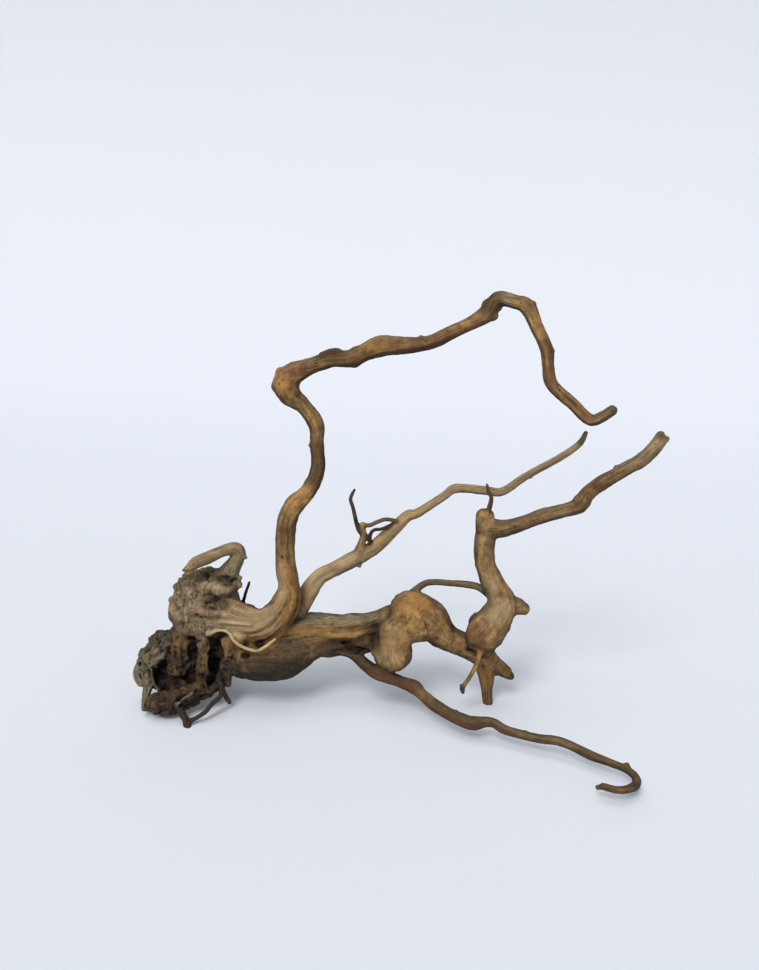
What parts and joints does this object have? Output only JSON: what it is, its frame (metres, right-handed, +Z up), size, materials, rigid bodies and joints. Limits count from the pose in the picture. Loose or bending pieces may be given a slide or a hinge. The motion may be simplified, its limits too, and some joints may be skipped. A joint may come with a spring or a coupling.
{
  "type": "driftwood root",
  "caption": "Bare, weathered root with a rough knob, a decayed lower end and long crooked limbs, standing on three low points.",
  "frame": {"origin": "under the middle of the root's box, on the surface that it stands on", "axes": "+X to the right along the limbs, from the knob towards the far limb ends; +Y away from the side with the long low tail; +Z up"},
  "size_m": [0.4346, 0.1967, 0.3586],
  "materials": {
    "weathered_wood": "dry, matt, fibrous"
  },
  "bodies": {
    "root": {"dry_root": "weathered_wood"}
  },
  "joints": []
}
